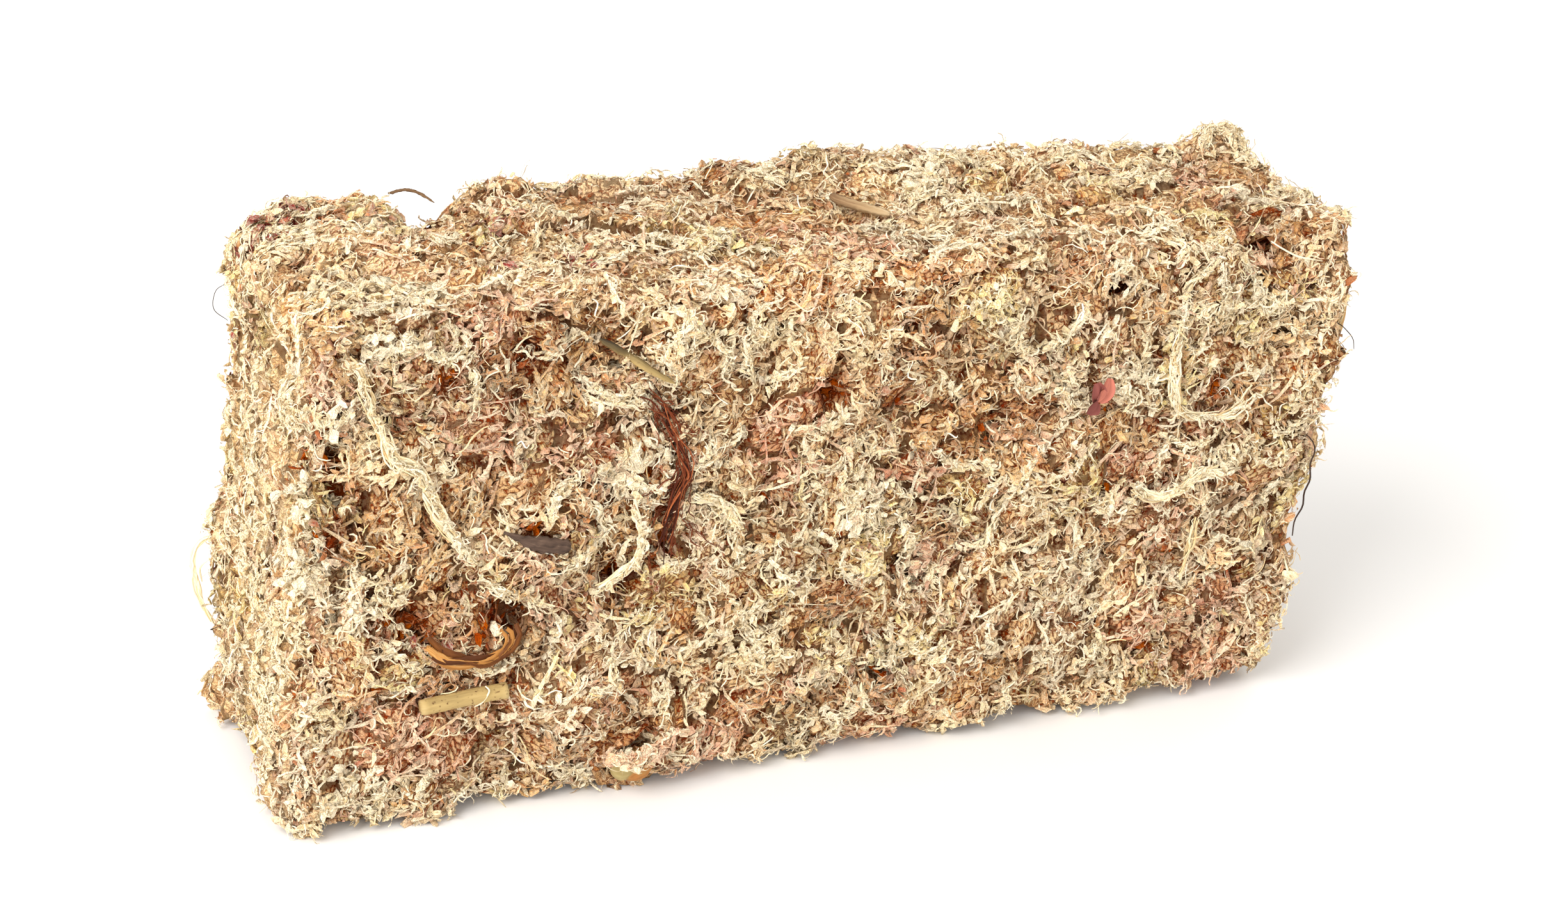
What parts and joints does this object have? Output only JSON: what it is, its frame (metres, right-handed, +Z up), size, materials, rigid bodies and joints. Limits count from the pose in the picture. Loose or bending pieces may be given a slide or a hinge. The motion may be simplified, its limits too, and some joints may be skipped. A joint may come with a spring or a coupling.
{
  "type": "dried sphagnum moss block",
  "caption": "Pressed block of dried sphagnum moss that stands on its long narrow side, with reed, bark, root, husk, twigs and long pale stems caught in it.",
  "frame": {"origin": "bottom centre of the whole piece, on the surface it stands on", "axes": "+X along the length, +Y through the thickness towards the back, +Z up; the broad front face looks along -Y"},
  "size_m": [0.1928, 0.0496, 0.0959],
  "materials": {
    "moss": "dry matt leafy moss, cream to rust, with brown gaps between the leaves",
    "pale_stem": "dry pale straw-coloured stem with fine lengthwise fibres",
    "tan_stem": "dry tan stem with fine lengthwise fibres",
    "reed": "dry reed, satin, with dark specks and grey weathering",
    "root": "dark red-brown root bark, matt",
    "bark": "dark grey-brown bark, rough",
    "leaf": "dry curled leaf, orange-brown to russet, matt",
    "husk": "amber seed husk, half glossy",
    "twig": "weathered brown twig, matt"
  },
  "bodies": {
    "root": {"moss_block": "moss", "pale_stem_left": "pale_stem", "pale_stem_right": "pale_stem", "pale_stem_low": "pale_stem", "pale_stem_drop": "tan_stem", "pale_stem_middle": "pale_stem", "arc_stem": "pale_stem", "split_reed": "reed", "root_strip": "root", "curled_leaf": "leaf", "russet_flake": "leaf", "side_twig": "twig", "top_twig": "twig", "notch_twig": "twig", "left_loop": "tan_stem", "right_loop": "tan_stem", "reed_stub": "reed", "bark_chip": "bark", "seed_husk": "husk"}
  },
  "joints": []
}
